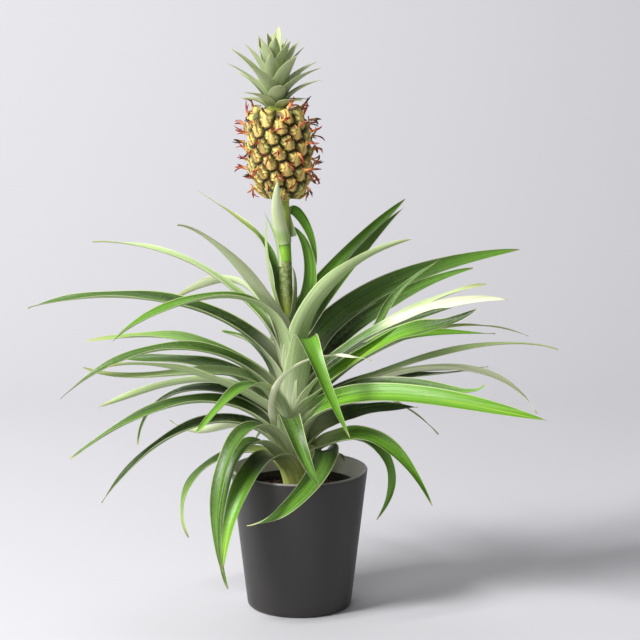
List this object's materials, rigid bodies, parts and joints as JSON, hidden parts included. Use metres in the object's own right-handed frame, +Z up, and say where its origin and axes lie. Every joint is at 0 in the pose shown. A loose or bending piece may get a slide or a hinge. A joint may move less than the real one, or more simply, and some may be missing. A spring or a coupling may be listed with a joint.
{
  "type": "potted pineapple plant",
  "caption": "Young pineapple plant in fruit, with long arching leaves, a stalked crowned fruit, a nursery pot of peat and a tapered planter.",
  "frame": {"origin": "centre of the planter's flat foot, on the surface that it stands on", "axes": "+Z up along the planter's axis; the side that faces -Y is the front, and the plant leans towards -X"},
  "size_m": [0.5344, 0.291, 0.5867],
  "materials": {
    "planter": "matte dark grey",
    "nursery_pot": "thin black plastic",
    "peat": "damp fibrous peat",
    "stem": "green, mealy towards the foot of the stalk",
    "leaf": "satin green above, pale silvery green below",
    "fruit": "golden olive eyes with dry orange bracts",
    "crown": "pale grey-green"
  },
  "bodies": {
    "root": {"planter": "planter", "grow_pot": "nursery_pot", "soil": "peat", "stem": "stem", "flower_stalk": "stem", "fruit": "fruit", "crown": "crown", "leaf_01": "leaf", "leaf_02": "leaf", "leaf_03": "leaf", "leaf_04": "leaf", "leaf_05": "leaf", "leaf_06": "leaf", "leaf_07": "leaf", "leaf_08": "leaf", "leaf_09": "leaf", "leaf_10": "leaf", "leaf_11": "leaf", "leaf_12": "leaf", "leaf_13": "leaf", "leaf_14": "leaf", "leaf_15": "leaf", "leaf_16": "leaf", "leaf_17": "leaf", "leaf_18": "leaf", "leaf_19": "leaf", "leaf_20": "leaf", "leaf_21": "leaf", "leaf_22": "leaf", "leaf_23": "leaf", "leaf_24": "leaf", "leaf_25": "leaf", "leaf_26": "leaf", "leaf_27": "leaf", "leaf_28": "leaf", "leaf_29": "leaf", "leaf_30": "leaf", "leaf_31": "leaf", "leaf_32": "leaf", "leaf_33": "leaf", "leaf_34": "leaf", "leaf_35": "leaf", "leaf_36": "leaf", "leaf_37": "leaf", "leaf_38": "leaf", "leaf_39": "leaf", "leaf_40": "leaf", "leaf_41": "leaf", "leaf_42": "leaf", "leaf_43": "leaf", "leaf_44": "leaf", "leaf_45": "leaf", "leaf_46": "leaf", "leaf_47": "leaf", "leaf_48": "leaf", "leaf_49": "leaf", "leaf_50": "leaf", "leaf_51": "leaf", "leaf_52": "leaf"}
  },
  "joints": []
}
